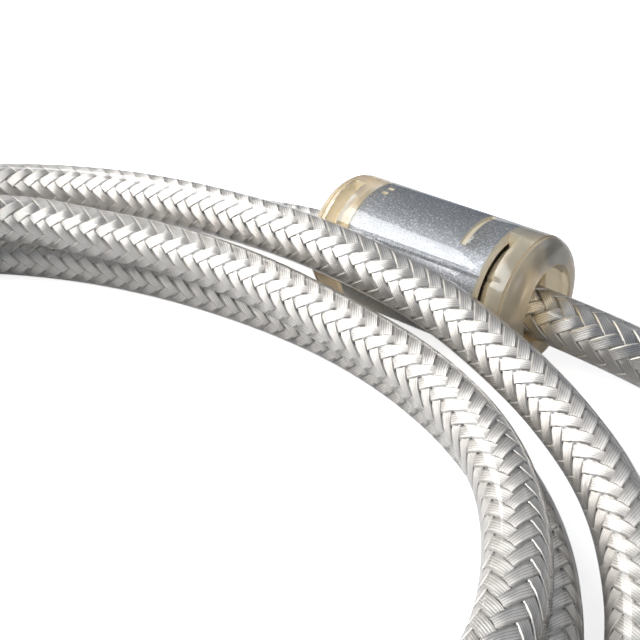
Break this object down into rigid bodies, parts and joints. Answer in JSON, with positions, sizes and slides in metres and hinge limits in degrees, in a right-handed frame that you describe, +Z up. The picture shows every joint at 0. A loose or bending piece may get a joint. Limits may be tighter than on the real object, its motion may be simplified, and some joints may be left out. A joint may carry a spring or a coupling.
{
  "type": "shielded data cable with ferrite choke",
  "caption": "Coiled data cable in a clear jacket over a woven metal braid, with an in-line ferrite choke in a clear moulded cover and a plug at each end.",
  "frame": {"origin": "middle of the choke's footprint, on the surface that the cable lies on", "axes": "+X along the choke's axis towards the lead to the square plug, +Y away from the coil, +Z up"},
  "size_m": [0.1519, 0.1308, 0.0156],
  "materials": {
    "clear_cover": "gloss",
    "ferrite": "matte",
    "jacketed_braid": "gloss",
    "plug_cover": "satin",
    "nickel_shell": "polished",
    "insulator_white": "satin",
    "insulator_black": "satin",
    "gold_contact": "polished",
    "inner_plastic": "satin",
    "wire_insulation": "satin"
  },
  "bodies": {
    "cable": {"cable_to_coil": "jacketed_braid", "cable_to_flat_plug": "jacketed_braid", "cable_to_square_plug": "jacketed_braid", "cable_coil": "jacketed_braid", "flat_plug_grip": "plug_cover", "flat_plug_strain_relief": "plug_cover", "flat_plug_metal_shell": "nickel_shell", "flat_plug_tongue": "insulator_white", "flat_plug_contacts": "gold_contact", "flat_plug_inner_block": "inner_plastic", "flat_plug_crimp_ferrule": "nickel_shell", "flat_plug_wire_ends": "wire_insulation", "square_plug_grip": "plug_cover", "square_plug_strain_relief": "plug_cover", "square_plug_metal_shell": "nickel_shell", "square_plug_insulator": "insulator_black", "square_plug_contacts": "gold_contact", "square_plug_inner_block": "inner_plastic", "square_plug_crimp_ferrule": "nickel_shell", "square_plug_wire_ends": "wire_insulation"},
    "choke": {"choke_cover": "clear_cover", "ferrite_core": "ferrite"}
  },
  "joints": [
    {"name": "choke_turns", "type": "hinge", "parent": "cable", "child": "choke", "pos_m": [0, 0, 0.0078], "axis": [1, 0, 0], "continuous": true}
  ]
}
